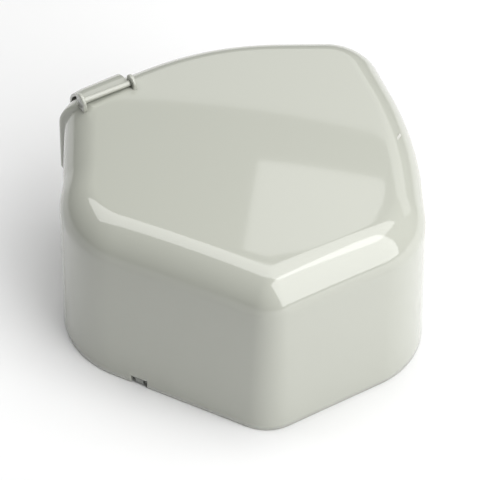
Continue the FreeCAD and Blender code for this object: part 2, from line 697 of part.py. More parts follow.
def commutator():
    body = tube_x(MOTOR_END_X + 9.5, 10.0, MOTOR_SHAFT_R, 14)
    grooves = []
    for index in range(ROTOR_SLOTS):
        groove = block(MOTOR_END_X + 10, MOTOR_END_X + 26, WORM_Y - 0.4, WORM_Y + 0.4, DRIVE_Z + 9,
                       DRIVE_Z + 11)
        groove.rotate(vec(0, WORM_Y, DRIVE_Z), X_AXIS, (index + 0.5) * 360 / ROTOR_SLOTS)
        grooves.append(groove)
    return body.cut(grooves)


def motor_brushes():
    x0 = MOTOR_END_X + 13
    brush = block(x0, x0 + 7, WORM_Y - 3.5, WORM_Y + 3.5, DRIVE_Z + 10.3, DRIVE_Z + 24)
    holder_outer = block(x0 - 1.5, x0 + 8.5, WORM_Y - 5, WORM_Y + 5, DRIVE_Z + 14,
                         DRIVE_Z + MOTOR_R - MOTOR_SKIN - 0.9)
    holder = holder_outer.cut(block(x0, x0 + 7, WORM_Y - 3.5, WORM_Y + 3.5, DRIVE_Z, DRIVE_Z + 24))
    upper = [brush, holder]
    lower = []
    for piece in upper:
        turned = piece.copy()
        turned.rotate(vec(0, WORM_Y, DRIVE_Z), X_AXIS, 180)
        lower.append(turned)
    return group([upper[0], lower[0]]), group([upper[1], lower[1]])


def motor_bearings():
    inner = MOTOR_SHAFT_R + RUN_GAP
    rear = tube_x(MOTOR_END_X, BEARING_R, inner, BEARING_WIDTH)
    front = tube_x(MOTOR_START_X - BEARING_WIDTH, BEARING_R, inner, BEARING_WIDTH)
    tail = tube_x(RAIL_X + CASE_HALF_X - CASE_WALL * 2 + 1, MOTOR_SHAFT_R + 4, inner, 6)
    return group([rear, front, tail])


def encoder_disc():
    x0 = MOTOR_END_X - 9.0
    disc = tube_x(x0, 15.0, MOTOR_SHAFT_R, 1.2)
    hub = tube_x(x0 + 1.2, 7.0, MOTOR_SHAFT_R, 4.0)
    slots = []
    for index in range(ENCODER_SLOTS):
        slot = block(x0 - 1, x0 + 2, WORM_Y - 0.9, WORM_Y + 0.9, DRIVE_Z + 10, DRIVE_Z + 13.4)
        slot.rotate(vec(0, WORM_Y, DRIVE_Z), X_AXIS, index * 360 / ENCODER_SLOTS)
        slots.append(slot)
    return disc.fuse(hub).cut(slots)


def encoder_sensor():
    x0 = MOTOR_END_X - 9.0
    body = block(x0 - 4, x0 + 5.2, WORM_Y - 5, WORM_Y + 5, DRIVE_Z + 10, DRIVE_Z + 23)
    slot = block(x0 - 1.2, x0 + 2.4, WORM_Y - 6, WORM_Y + 6, DRIVE_Z + 9, DRIVE_Z + 17)
    arm = block(x0 + 5.2, MOTOR_END_X, WORM_Y - 5, WORM_Y + 5, DRIVE_Z + 17, DRIVE_Z + 23)
    return join([body.cut(slot), arm])


def saddle_places():
    return [MOTOR_END_X + 16, MOTOR_START_X - 28]


def motor_saddle():
    """Two cradles on a common foot that carry the motor can."""
    foot = block(saddle_places()[0], saddle_places()[1] + 12, WORM_Y - 30, WORM_Y + 30,
                 PLATE_THICK, PLATE_THICK + 2.5)
    cradles = [block(x, x + 12, WORM_Y - 30, WORM_Y + 30, PLATE_THICK,
                     DRIVE_Z - 14) for x in saddle_places()]
    body = join([foot] + cradles)
    return body.cut(along_x(MOTOR_END_X - 1, MOTOR_R, MOTOR_LENGTH + 2))


def motor_straps():
    """Steel bands over the motor can, with a foot on each side."""
    straps = []
    for x in saddle_places():
        band = tube_x(x + 1, MOTOR_R + STRAP_THICK, MOTOR_R, 10)
        keep = block(x, x + 12, WORM_Y - 60, WORM_Y + 60, DRIVE_Z - 14, DRIVE_Z + 60)
        arc = band.common(keep)
        low = DRIVE_Z - 14
        feet = [block(x + 1, x + 11, WORM_Y + side * 34 - 6, WORM_Y + side * 34 + 6, low, low + 1.2)
                for side in (-1, 1)]
        feet = [foot.cut(along_x(x, MOTOR_R, 14)) for foot in feet]
        posts = [block(x + 1, x + 11, WORM_Y + side * 35 - 4.9, WORM_Y + side * 35 + 4.9,
                       PLATE_THICK, low)
                 for side in (-1, 1)]
        straps.append(join([arc] + feet + posts))
    return group(straps)


def strap_screws():
    low = DRIVE_Z - 14 + STRAP_THICK
    return group([hex_bolt(x + 6, WORM_Y + side * 36, low, 0.8, 0.4, 3.0, 2.4)
                  for x in saddle_places() for side in (-1, 1)])


# ================================================================ transformer and lamp
def transformer_core():
    y = FRONT_Y + TRANS_DEPTH
    core = block(TRANS_X - CORE_X / 2, TRANS_X + CORE_X / 2, y - CORE_Y / 2, y + CORE_Y / 2,
                 PLATE_THICK + 2, PLATE_THICK + 2 + CORE_Z)
    leg = CORE_X / 6
    mid = PLATE_THICK + 2 + CORE_Z / 2
    windows = [block(TRANS_X + s * CORE_X * 0.25 - leg * 0.75, TRANS_X + s * CORE_X * 0.25 + leg * 0.75,
                     y - CORE_Y, y + CORE_Y, mid - CORE_Z * 0.32, mid + CORE_Z * 0.32) for s in (-1, 1)]
    return core.cut(windows)


def transformer_coil():
    y = FRONT_Y + TRANS_DEPTH
    leg = CORE_X / 6
    mid = PLATE_THICK + 2 + CORE_Z / 2
    reach = CORE_X * 0.25 + leg * 0.75 - 0.4
    high = CORE_Z * 0.32 - 0.4
    coil = block(TRANS_X - reach, TRANS_X + reach, y - CORE_Y / 2 - 11, y + CORE_Y / 2 + 11,
                 mid - high, mid + high)
    coil = soften(coil, 6.0, upright)
    half = CORE_X * 0.25 - leg * 0.75
    return coil.cut(block(TRANS_X - half, TRANS_X + half, y - CORE_Y / 2, y + CORE_Y / 2, 0, 2 * mid))


def transformer_bracket():
    y = FRONT_Y + TRANS_DEPTH
    foot = block(TRANS_X - CORE_X / 2 - 6, TRANS_X + CORE_X / 2 + 6, y - CORE_Y / 2, y + CORE_Y / 2,
                 PLATE_THICK, PLATE_THICK + 2)
    high = PLATE_THICK + 2 + CORE_Z
    sides = [block(TRANS_X + s * (CORE_X / 2 + 0.8) - 0.8, TRANS_X + s * (CORE_X / 2 + 0.8) + 0.8,
                   y - CORE_Y / 2 + 3, y + CORE_Y / 2 - 3, PLATE_THICK, high + 1.6) for s in (-1, 1)]
    top = block(TRANS_X - CORE_X / 2 - 1.6, TRANS_X + CORE_X / 2 + 1.6, y - CORE_Y / 2 + 3,
                y + CORE_Y / 2 - 3,
                high, high + 1.6)
    return join([foot, top] + sides)


def lamp_holder():
    y = FRONT_Y + LAMP_DEPTH
    base = block(LAMP_X - 14, LAMP_X + 14, y - 14, y + 14, PLATE_THICK, PLATE_THICK + 4)
    cup = ring(vec(LAMP_X, y, PLATE_THICK + 4), Z_AXIS, 11.5, 9.0, 20)
    floor = rod(vec(LAMP_X, y, PLATE_THICK + 4), Z_AXIS, 11.5, 3)
    return join([soften(base, 3.0, upright), cup, floor])


def lamp_bulb():
    y = FRONT_Y + LAMP_DEPTH
    low = PLATE_THICK + 7
    cap = rod(vec(LAMP_X, y, low), Z_AXIS, 8.9, 20)
    stem = Part.makeCone(8.9, 12.5, 9, vec(LAMP_X, y, low + 20), Z_AXIS)
    globe = Part.makeSphere(BULB_R, vec(LAMP_X, y, low + 37))
    return cap, join([stem, globe])


# ================================================================ control board
def board_box(x0, x1, d0, d1, z0, z1):
    """Block placed by its depth behind the front face."""
    return block(x0, x1, FRONT_Y + d0, FRONT_Y + d1, z0, z1)


def board_corner_places():
    xs = (-BOARD_WIDTH / 2 + 5, BOARD_WIDTH / 2 - 5)
    ys = (FRONT_Y + BOARD_FRONT + 5, FRONT_Y + BOARD_FRONT + BOARD_DEPTH - 5)
    return [(x, y) for x in xs for y in ys]


def control_board():
    plate = board_box(-BOARD_WIDTH / 2, BOARD_WIDTH / 2, BOARD_FRONT, BOARD_FRONT + BOARD_DEPTH,
                      BOARD_Z, BOARD_TOP)
    plate = soften(plate, 3.0, upright)
    return plate.cut([rod(vec(x, y, BOARD_Z - 1), Z_AXIS, 1.6, 4) for x, y in board_corner_places()])


def board_standoffs():
    pillars = []
    for x, y in board_corner_places():
        pillar = rod(vec(x, y, PLATE_THICK), Z_AXIS, 3.2, BOARD_Z - PLATE_THICK)
        screw = rod(vec(x, y, BOARD_Z), Z_AXIS, 1.6, BOARD_THICK)
        head = rod(vec(x, y, BOARD_TOP), Z_AXIS, 3.0, 2.0)
        pillars.append(join([pillar, screw, head]))
    return group(pillars)


def relays():
    xs = [-46 + index * 21.0 for index in range(3)]
    return group([soften(board_box(x, x + 16, BOARD_FRONT + 46, BOARD_FRONT + 65, BOARD_TOP,
                                   BOARD_TOP + 15.5),
                         1.0, upright) for x in xs])


def smoothing_capacitors():
    pieces = []
    for x, radius, high in ((30.0, 9.0, 30.0), (47.0, 6.0, 20.0)):
        y = FRONT_Y + BOARD_FRONT + 58
        can = rod(vec(x, y, BOARD_TOP), Z_AXIS, radius, high)
        pieces.append(soften(can, 1.2, lambda edge: edge.BoundBox.ZLength < 0.01))
    return group(pieces)


def terminal_block():
    body = board_box(-52, 2, BOARD_FRONT + 4, BOARD_FRONT + 14, BOARD_TOP, BOARD_TOP + 12)
    cuts = []
    for index in range(8):
        x = -48.6 + index * 6.7
        cuts.append(rod(vec(x, FRONT_Y + BOARD_FRONT + 9.5, BOARD_TOP + 7), Z_AXIS, 2.2, 6))
        cuts.append(board_box(x - 2, x + 2, BOARD_FRONT + 3, BOARD_FRONT + 9, BOARD_TOP + 2,
                              BOARD_TOP + 6))
    return body.cut(cuts)


def terminal_screws():
    heads = []
    for index in range(8):
        x = -48.6 + index * 6.7
        y = FRONT_Y + BOARD_FRONT + 9.5
        head = rod(vec(x, y, BOARD_TOP + 7), Z_AXIS, 2.1, 2.2)
        heads.append(head.cut(block(x - 2.3, x + 2.3, y - 0.35, y + 0.35, BOARD_TOP + 8.4,
                                    BOARD_TOP + 10)))
    return group(heads)


def microcontroller():
    chip = board_box(-12, 2, BOARD_FRONT + 24, BOARD_FRONT + 38, BOARD_TOP + 0.4, BOARD_TOP + 2.2)
    pins = []
    for index in range(10):
        offset = -10.8 + index * 1.3
        pins.append(board_box(offset, offset + 0.5, BOARD_FRONT + 22.6, BOARD_FRONT + 24,
                              BOARD_TOP, BOARD_TOP + 0.9))
        pins.append(board_box(offset, offset + 0.5, BOARD_FRONT + 38, BOARD_FRONT + 39.4,
                              BOARD_TOP, BOARD_TOP + 0.9))
    return join([chip] + pins)


def radio_module():
    card = board_box(-44, -20, BOARD_FRONT + 22, BOARD_FRONT + 38, BOARD_TOP, BOARD_TOP + 1.2)
    can = board_box(-41, -29, BOARD_FRONT + 24, BOARD_FRONT + 36, BOARD_TOP + 1.2, BOARD_TOP + 4.0)
    return join([card, can])


def fuse_clips():
    clips = [board_box(x, x + 5, BOARD_FRONT + 6, BOARD_FRONT + 13, BOARD_TOP,
                       BOARD_TOP + 7) for x in (12, 29)]
    bore = rod(vec(11, FRONT_Y + BOARD_FRONT + 9.5, BOARD_TOP + 4.6), X_AXIS, 2.5, 24)
    return group([clip.cut(bore) for clip in clips])


def glass_fuse():
    return rod(vec(12.5, FRONT_Y + BOARD_FRONT + 9.5, BOARD_TOP + 4.6), X_AXIS, 2.5, 21)


def board_connectors():
    pieces = []
    for x in (14, 30, 44):
        shell = board_box(x, x + 11, BOARD_FRONT + 22, BOARD_FRONT + 30, BOARD_TOP, BOARD_TOP + 9)
        well = board_box(x + 1.2, x + 9.8, BOARD_FRONT + 23.2, BOARD_FRONT + 28.8, BOARD_TOP + 2,
                         BOARD_TOP + 10)
        pieces.append(shell.cut(well))
    return group(pieces)


def heat_sink():
    fins = [board_box(12 + k * 5.0, 13.6 + k * 5.0, BOARD_FRONT + 36, BOARD_FRONT + 44, BOARD_TOP,
                      BOARD_TOP + 20)
            for k in range(8)]
    back = board_box(12, 48.6, BOARD_FRONT + 43, BOARD_FRONT + 45, BOARD_TOP, BOARD_TOP + 20)
    return join(fins + [back])


# ================================================================ mains inlet
def mains_inlet():
    """Flush appliance inlet beside the rail, on a foot of its own."""
    y1 = INLET_END_Y
    body = block(INLET_X - INLET_HALF, INLET_X + INLET_HALF, y1 - INLET_LENGTH, y1, INLET_Z,
                 INLET_Z + INLET_RISE)
    well = block(INLET_X - INLET_HALF + INLET_WALL, INLET_X + INLET_HALF - INLET_WALL, y1 - 18, y1 + 1,
                 INLET_Z + 3, INLET_Z + INLET_RISE - 3)
    well = soften(well, 3.0, lambda edge: edge.BoundBox.YLength > 10)
    foot = block(INLET_X - 9, INLET_X + 9, y1 - INLET_LENGTH, y1 - 8, PLATE_THICK, INLET_Z)
    return join([body, foot]).cut(well)


def inlet_blades():
    y1 = INLET_END_Y
    mid = INLET_Z + INLET_RISE / 2
    blades = [block(INLET_X + x - 1, INLET_X + x + 1, y1 - 18, y1 - 4, mid + z - 2.5, mid + z + 2.5)
              for x, z in ((-5.5, -1.5), (0, 2.0), (5.5, -1.5))]
    return group(blades)


# ================================================================ set-up panel behind the flap
def panel_bracket():
    back = block(-PANEL_HALF, PANEL_HALF, PANEL_Y - 9.6, PANEL_Y - 8.0, PLATE_THICK, PANEL_HIGH)
    foot = block(-PANEL_HALF, PANEL_HALF, PANEL_Y - 16, PANEL_Y - 8.0, PLATE_THICK, PLATE_THICK + 1.6)
    posts = [block(s * (PANEL_HALF - 1.5) - 1.5, s * (PANEL_HALF - 1.5) + 1.5, PANEL_Y - 8.0,
                   PANEL_Y, z, z + 3.0)
             for s in (-1, 1) for z in (PANEL_LOW, PANEL_HIGH - 3)]
    return at_flap(join([back, foot] + posts))


def setup_panel():
    face = block(-PANEL_HALF, PANEL_HALF, PANEL_Y, PANEL_Y + PANEL_THICK, PANEL_LOW, PANEL_HIGH)
    face = soften(face, 2.0, lambda edge: edge.BoundBox.YLength > 1)
    holes = [rod(vec(x, PANEL_Y - 1, BUTTON_Z), Y_AXIS, BUTTON_R + MOVE_GAP, 4) for x in BUTTON_OFFSETS]
    holes += [rod(vec(x, PANEL_Y - 1, DIAL_Z), Y_AXIS, 2.0 + MOVE_GAP, 4) for x in DIAL_OFFSETS]
    return at_flap(face.cut(holes))


def panel_switches():
    bodies = [block(x - 3, x + 3, PANEL_Y - 8, PANEL_Y - 4.6, BUTTON_Z - 3,
                    BUTTON_Z + 3) for x in BUTTON_OFFSETS]
    bodies += [block(x - 5, x + 5, PANEL_Y - 8, PANEL_Y - 3.2, DIAL_Z - 5,
                     DIAL_Z + 5) for x in DIAL_OFFSETS]
    return at_flap(group(bodies))


def button_cap(x):
    front = PANEL_Y + PANEL_THICK
    cap = rod(vec(x, PANEL_Y - 1.6, BUTTON_Z), Y_AXIS, BUTTON_R, PANEL_THICK + 3.4)
    cap = soften(cap, 0.6, lambda edge: edge.BoundBox.YMin > front + 1)
    stem = rod(vec(x, PANEL_Y - 4.6 + BUTTON_TRAVEL + 0.3, BUTTON_Z), Y_AXIS, 1.6, 2.0)
    flange = rod(vec(x, PANEL_Y - 1.6, BUTTON_Z), Y_AXIS, BUTTON_R + 0.7, 1.3)
    return at_flap(join([cap, stem, flange]))


def dial_knob(x):
    front = PANEL_Y + PANEL_THICK
    knob = rod(vec(x, front + MOVE_GAP, DIAL_Z), Y_AXIS, DIAL_R, 2.2)
    slot = block(x - DIAL_R, x + DIAL_R, front + 1.4, front + 4, DIAL_Z - 0.6, DIAL_Z + 0.6)
    stem = rod(vec(x, PANEL_Y - 2.8, DIAL_Z), Y_AXIS, 2.0, 5.0)
    return at_flap(join([knob.cut(slot), stem]))


# ================================================================ build everything
parts["top_cover"] = top_cover()
parts["hinge_pin"] = hinge_pin()
parts["access_flap"] = access_flap()
parts["cover_latch"] = latch_button()
parts["latch_keeper"] = latch_keeper()
parts["latch_spring"] = latch_spring()
parts["base_plate"] = base_plate()
parts["rail_channel"] = rail_channel()
parts["rail_clamp_bolts"] = rail_clamp_bolts()
parts["worm_wheel"] = gear_wheel()
parts["output_shaft"] = output_shaft()
parts["drive_sprocket"] = drive_sprocket()
parts["rotor_shaft"] = rotor_shaft()
parts["gear_case_lower"], parts["gear_case_upper"] = case_parts()
parts["gear_case_screws"] = case_screws()
parts["shaft_bushes"] = shaft_bushes()
parts["motor_can"] = motor_can()
parts["motor_front_bell"] = motor_front_bell()
parts["motor_rear_cap"] = motor_rear_cap()
parts["motor_magnets"] = motor_magnets()
parts["rotor_core"] = rotor_core()
parts["rotor_windings"] = rotor_windings()
parts["commutator"] = commutator()
parts["motor_brushes"], parts["brush_holders"] = motor_brushes()
parts["motor_bearings"] = motor_bearings()
parts["encoder_disc"] = encoder_disc()
parts["encoder_sensor"] = encoder_sensor()
parts["motor_saddle"] = motor_saddle()
parts["strap_screws"] = strap_screws()
parts["motor_straps"] = motor_straps().cut(parts["strap_screws"])
parts["transformer_core"] = transformer_core()
parts["transformer_coil"] = transformer_coil()
parts["transformer_bracket"] = transformer_bracket()
parts["lamp_holder"] = lamp_holder()
parts["lamp_cap"], parts["lamp_bulb"] = lamp_bulb()
parts["control_board"] = control_board()
parts["board_standoffs"] = board_standoffs()
parts["relays"] = relays()
parts["smoothing_capacitors"] = smoothing_capacitors()
parts["terminal_block"] = terminal_block()
parts["terminal_screws"] = terminal_screws()
parts["microcontroller"] = microcontroller()
parts["radio_module"] = radio_module()
parts["fuse_clips"] = fuse_clips()
parts["glass_fuse"] = glass_fuse()
parts["board_connectors"] = board_connectors()
parts["heat_sink"] = heat_sink()
parts["mains_inlet"] = mains_inlet()
parts["inlet_blades"] = inlet_blades()
parts["panel_bracket"] = panel_bracket()
parts["setup_panel"] = setup_panel()
parts["panel_switches"] = panel_switches()
for name, x in zip(("button_up", "button_learn", "button_down"), BUTTON_OFFSETS):
    parts[name] = button_cap(x)
for name, x in zip(("dial_travel", "dial_force"), DIAL_OFFSETS):
    parts[name] = dial_knob(x)

os.makedirs("parts", exist_ok=True)
for name, shape in parts.items():
    shape.exportStep(os.path.join("parts", name + ".step"))
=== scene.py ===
import json
import math

import bmesh
import bpy
import numpy as np
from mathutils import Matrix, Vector


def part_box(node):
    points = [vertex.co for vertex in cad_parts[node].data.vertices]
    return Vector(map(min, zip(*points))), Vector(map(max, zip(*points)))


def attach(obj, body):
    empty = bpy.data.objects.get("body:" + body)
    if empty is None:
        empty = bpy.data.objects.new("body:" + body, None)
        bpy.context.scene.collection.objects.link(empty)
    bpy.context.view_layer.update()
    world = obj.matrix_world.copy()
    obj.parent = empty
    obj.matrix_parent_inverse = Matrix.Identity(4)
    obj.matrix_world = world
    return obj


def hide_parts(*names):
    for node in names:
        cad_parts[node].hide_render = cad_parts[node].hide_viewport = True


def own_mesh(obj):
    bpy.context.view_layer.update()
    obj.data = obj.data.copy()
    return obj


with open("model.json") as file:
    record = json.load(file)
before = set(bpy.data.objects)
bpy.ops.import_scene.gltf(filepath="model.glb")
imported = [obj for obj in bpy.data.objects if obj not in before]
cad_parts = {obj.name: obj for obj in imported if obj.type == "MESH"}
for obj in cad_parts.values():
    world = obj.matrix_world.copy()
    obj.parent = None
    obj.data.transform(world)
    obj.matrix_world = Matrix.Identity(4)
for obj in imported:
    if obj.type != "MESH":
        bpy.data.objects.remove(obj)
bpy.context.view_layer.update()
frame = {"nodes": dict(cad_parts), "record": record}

nodes = frame["nodes"]


# Surface finishes.
# Each finish mottles its colour and gloss with fine noise in the object's own space.
# A light grain goes on top.
def finish_of(name, colour, rough, metal=0.0, grain=400.0, bump=0.03, spread=0.06, coat=0.0, stretch=(1, 1, 1)):
    material = bpy.data.materials.new(name)
    material.use_nodes = True
    tree = material.node_tree
    shader = tree.nodes["Principled BSDF"]
    shader.inputs["Metallic"].default_value = metal
    shader.inputs["Coat Weight"].default_value = coat
    where = tree.nodes.new("ShaderNodeTexCoord")
    turn = tree.nodes.new("ShaderNodeMapping")
    turn.inputs["Scale"].default_value = stretch
    tree.links.new(where.outputs["Object"], turn.inputs["Vector"])
    fine = tree.nodes.new("ShaderNodeTexNoise")
    fine.inputs["Scale"].default_value = grain
    fine.inputs["Detail"].default_value = 6.0
    tree.links.new(turn.outputs["Vector"], fine.inputs["Vector"])
    broad = tree.nodes.new("ShaderNodeTexNoise")
    broad.inputs["Scale"].default_value = grain / 25
    broad.inputs["Detail"].default_value = 3.0
    tree.links.new(turn.outputs["Vector"], broad.inputs["Vector"])
    tone = tree.nodes.new("ShaderNodeValToRGB")
    tone.color_ramp.elements[0].position = 0.3
    tone.color_ramp.elements[1].position = 0.7
    tone.color_ramp.elements[0].color = [c * (1 - spread) for c in colour] + [1]
    tone.color_ramp.elements[1].color = [min(1, c * (1 + spread)) for c in colour] + [1]
    tree.links.new(broad.outputs["Fac"], tone.inputs["Fac"])
    tree.links.new(tone.outputs["Color"], shader.inputs["Base Color"])
    gloss = tree.nodes.new("ShaderNodeMapRange")
    gloss.inputs["To Min"].default_value = max(0.02, rough * 0.8)
    gloss.inputs["To Max"].default_value = min(1.0, rough * 1.2)
    tree.links.new(fine.outputs["Fac"], gloss.inputs["Value"])
    tree.links.new(gloss.outputs["Result"], shader.inputs["Roughness"])
    relief = tree.nodes.new("ShaderNodeBump")
    relief.inputs["Strength"].default_value = bump
    relief.inputs["Distance"].default_value = 0.0004
    tree.links.new(fine.outputs["Fac"], relief.inputs["Height"])
    tree.links.new(relief.outputs["Normal"], shader.inputs["Normal"])
    return material


cover_white = finish_of("cover_white", (0.465, 0.475, 0.420), 0.07, grain=60, bump=0.004, spread=0.008, coat=0.4)
cover_white.node_tree.nodes["Principled BSDF"].inputs["Coat Roughness"].default_value = 0.04


# Turning lists of points and faces into a piece.
# Every piece sits at the origin with its place in its points.
def piece(name, points, faces, material, smooth=True):
    mesh = bpy.data.meshes.new(name)
    mesh.from_pydata([tuple(p) for p in points], [], [tuple(f) for f in faces])
    mesh.validate()
    work = bmesh.new()
    work.from_mesh(mesh)
    bmesh.ops.recalc_face_normals(work, faces=work.faces)
    work.to_mesh(mesh)
    work.free()
    mesh.polygons.foreach_set("use_smooth", [smooth] * len(mesh.polygons))
    mesh.materials.append(material)
    made = bpy.data.objects.new(name, mesh)
    bpy.context.collection.objects.link(made)
    return made


# Plan of the housing from above.
# Five corners with their own radii, two swollen rear walls and a set-back left wall.
# The outline is kept as distances from one centre.
FRONT, LEAN, ROUND = -125.0, math.tan(math.radians(3.6)), 24.0
HEIGHT, CROWN, WALL = 136.0, 6.0, 2.6
RIM, SET_BACK, HOOD_LOW = 0.4, 6.0, 66.0
FLAP_ALONG, PIN_INSET, PIN_HEIGHT = 34.0, 34.0, 141.4
corner_fl, corner_fr = np.array([-85.0, FRONT]), np.array([85.0, FRONT])
corner_r, corner_d = np.array([162.0, FRONT + 105.5]), np.array([37.5, FRONT + 288.0])
corner_l = np.array([-151.0, FRONT + 122.0])
plan_centre = np.array([0.0, 10.0])


def swollen(a, b, bulge):
    along = (b - a) / np.linalg.norm(b - a)
    return (a + b) / 2 + np.array([along[1], -along[0]]) * bulge


side_middle, rear_middle = swollen(corner_r, corner_d, 17.5), swollen(corner_d, corner_l, 31.0)
slant = (corner_l - corner_fl) / np.linalg.norm(corner_l - corner_fl)
slant_in = np.array([slant[1], -slant[0]])
back_dir = (rear_middle - corner_l) / np.linalg.norm(rear_middle - corner_l)
leaf_out = np.array([-back_dir[1], back_dir[0]])


def plan(recessed):
    points = [corner_fl, corner_fr, corner_r, side_middle, corner_d, rear_middle]
    radii = [70.0, 33.0, 64.0, None, 48.0, None]
    if not recessed:
        return points + [corner_l], radii + [42.0]
    set_back = corner_l + back_dir * (SET_BACK / back_dir.dot(slant_in))
    return points + [set_back, corner_fl + slant * 60 + slant_in * SET_BACK], radii + [50.0, -30.0]


def outline(recessed, inset):
    """Dense points along the plan at one inset, as angles round the centre and distances from it."""
    points, base = plan(recessed)
    count = len(points)
    radii = []
    for i in range(count):
        if base[i] is None:
            back, ahead = points[i - 1] - points[i], points[(i + 1) % count] - points[i]
            cosine = back.dot(ahead) / np.linalg.norm(back) / np.linalg.norm(ahead)
            half = math.acos(cosine) / 2
            radii.append(0.42 * min(np.linalg.norm(back), np.linalg.norm(ahead)) * math.tan(half) - inset)
        else:
            radii.append(abs(base[i] - inset))
    moved = []
    for i in range(count):
        a = points[i] - points[i - 1]
        b = points[(i + 1) % count] - points[i]
        a, b = a / np.linalg.norm(a), b / np.linalg.norm(b)
        pa = points[i - 1] + np.array([-a[1], a[0]]) * inset
        pb = points[i] + np.array([-b[1], b[0]]) * inset
        reach = ((pb - pa)[0] * b[1] - (pb - pa)[1] * b[0]) / (a[0] * b[1] - a[1] * b[0])
        moved.append(pa + a * reach)
    line = []
    for i in range(count):
        here = moved[i]
        back, ahead = moved[i - 1] - here, moved[(i + 1) % count] - here
        back, ahead = back / np.linalg.norm(back), ahead / np.linalg.norm(ahead)
        half = math.acos(back.dot(ahead)) / 2
        radius = max(radii[i], 0.05)
        middle = (back + ahead) / np.linalg.norm(back + ahead)
        hub = here + middle * radius / math.sin(half)
        start, end = here + back * radius / math.tan(half), here + ahead * radius / math.tan(half)
        a0 = math.atan2(*(start - hub)[::-1])
        a1 = math.atan2(*(end - hub)[::-1])
        sweep = (a1 - a0 + math.pi) % (2 * math.pi) - math.pi
        angles = a0 + np.linspace(0, 1, 60) * sweep
        line.append(hub + radius * np.stack([np.cos(angles), np.sin(angles)], 1))
    line = np.concatenate(line)
    closed = np.concatenate([line, line[:1]])
    rich = []
    for a, b in zip(closed[:-1], closed[1:]):
        steps = max(1, int(np.linalg.norm(b - a) / 1.5))
        rich += [a + (b - a) * k / steps for k in range(steps)]
    rich = np.array(rich) - plan_centre
    angle = np.arctan2(rich[:, 1], rich[:, 0])
    order = np.argsort(angle)
    return angle[order], np.hypot(rich[:, 0], rich[:, 1])[order]


def distance(recessed, inset, theta):
    angle, reach = outline(recessed, inset)
    return np.interp(theta, angle, reach, period=2 * math.pi)


# Top height.
# A slightly swollen sphere cap covers the whole plan.
cap_reach = (162.0 + 151.0) / 2 - ROUND
cap_r = (cap_reach ** 2 + CROWN ** 2) / (2 * CROWN)
cap_centre = np.array([5.5, FRONT + 288.0 * 0.46])


def top_height(x, y, inset):
    flat = (x - cap_centre[0]) ** 2 + (y - cap_centre[1]) ** 2
    return HEIGHT + CROWN - cap_r + np.sqrt((cap_r - inset) ** 2 - flat)


# Where the columns of the cover's mesh stand.
# They are even round the plan and close together at the hood's front edge.
full_angle, full_reach = outline(False, 0.0)
walk = np.stack([full_reach * np.cos(full_angle), full_reach * np.sin(full_angle)], 1)
length = np.concatenate([[0], np.cumsum(np.linalg.norm(np.diff(walk, axis=0), axis=1))])
spots = np.interp(np.linspace(0, length[-1], 470), length, np.unwrap(full_angle))
hood_spot = corner_l - slant * 14.0 - plan_centre
hood_theta = math.atan2(hood_spot[1], hood_spot[0])
hood_theta %= 2 * math.pi
near_hood = hood_theta - np.linspace(0, 0.028, 14)
theta = np.unique(np.round(np.concatenate([spots % (2 * math.pi), near_hood, [hood_theta + 0.0006]]), 6))


def hood_share(angle, z, low):
    """1 where the full corner shows and 0 where the wall is set back, with a rounded edge between."""
    side = np.clip((hood_theta - angle) / 0.026, 0, 1)
    side = np.sqrt(np.clip(1 - (1 - side) ** 2, 0, 1))
    lift = np.clip((z - low) / 1.6, 0, 1)
    lift = np.sqrt(np.clip(1 - (1 - lift) ** 2, 0, 1))
    return side * lift


def skin(inset, low_z):
    """Rings of points from the rim up the wall, round the shoulder and over the top."""
    hood_low = HOOD_LOW + inset
    heights = list(np.linspace(low_z, hood_low - 0.1, 16))
    heights += [hood_low + d for d in (0.0, 0.15, 0.4, 0.8, 1.2, 1.6)]
    heights += list(np.linspace(hood_low + 3, HEIGHT - ROUND, 12))
    rings = []
    for z in heights:
        total = inset + z * LEAN
        a, b = distance(True, total, theta), distance(False, total, theta)
        share = hood_share(theta, z, hood_low)
        reach = a + (b - a) * share
        rings.append(np.stack([plan_centre[0] + reach * np.cos(theta), plan_centre[1] + reach * np.sin(theta),
                               np.full_like(theta, z)], 1))
    curve = ROUND - inset
    for turn in np.linspace(0, math.pi / 2, 26)[1:]:
        s = curve * (1 - math.cos(turn))
        drop = curve * (1 - math.sin(turn))
        z_wall = HEIGHT - inset - drop
        total = inset + z_wall * LEAN + s
        a, b = distance(True, total, theta), distance(False, total, theta)
        reach = a + (b - a) * hood_share(theta, z_wall, hood_low)
        x, y = plan_centre[0] + reach * np.cos(theta), plan_centre[1] + reach * np.sin(theta)
        blend = (math.sin(turn)) ** 2
        z = (top_height(x, y, inset) - drop) * blend + z_wall * (1 - blend)
        rings.append(np.stack([x, y, z], 1))
    edge = rings[-1]
    for k in np.linspace(1, 0, 16)[1:-1]:
        flat = plan_centre + (edge[:, :2] - plan_centre) * k
        rings.append(np.stack([flat[:, 0], flat[:, 1], top_height(flat[:, 0], flat[:, 1], inset)], 1))
    peak = np.array([[plan_centre[0], plan_centre[1], top_height(plan_centre[0], plan_centre[1], inset)]])
    return rings, peak


# The glossy cover shell.
# Outer and inner skins joined at the rim, then doors for rail, inlet, latch and buttons cut through.
outer_rings, outer_peak = skin(0.0, RIM)
inner_rings, inner_peak = skin(WALL, RIM)
columns = len(theta)
points = np.concatenate(outer_rings + [outer_peak] + inner_rings + [inner_peak])
faces = []


def weave(offset, rows, flip):
    for row in range(rows - 1):
        for col in range(columns):
            nxt = (col + 1) % columns
            quad = [offset + row * columns + col, offset + row * columns + nxt,
                    offset + (row + 1) * columns + nxt, offset + (row + 1) * columns + col]
            faces.append(quad[::-1] if flip else quad)
    last, tip = offset + (rows - 1) * columns, offset + rows * columns
    for col in range(columns):
        tri = [last + col, last + (col + 1) % columns, tip]
        faces.append(tri[::-1] if flip else tri)


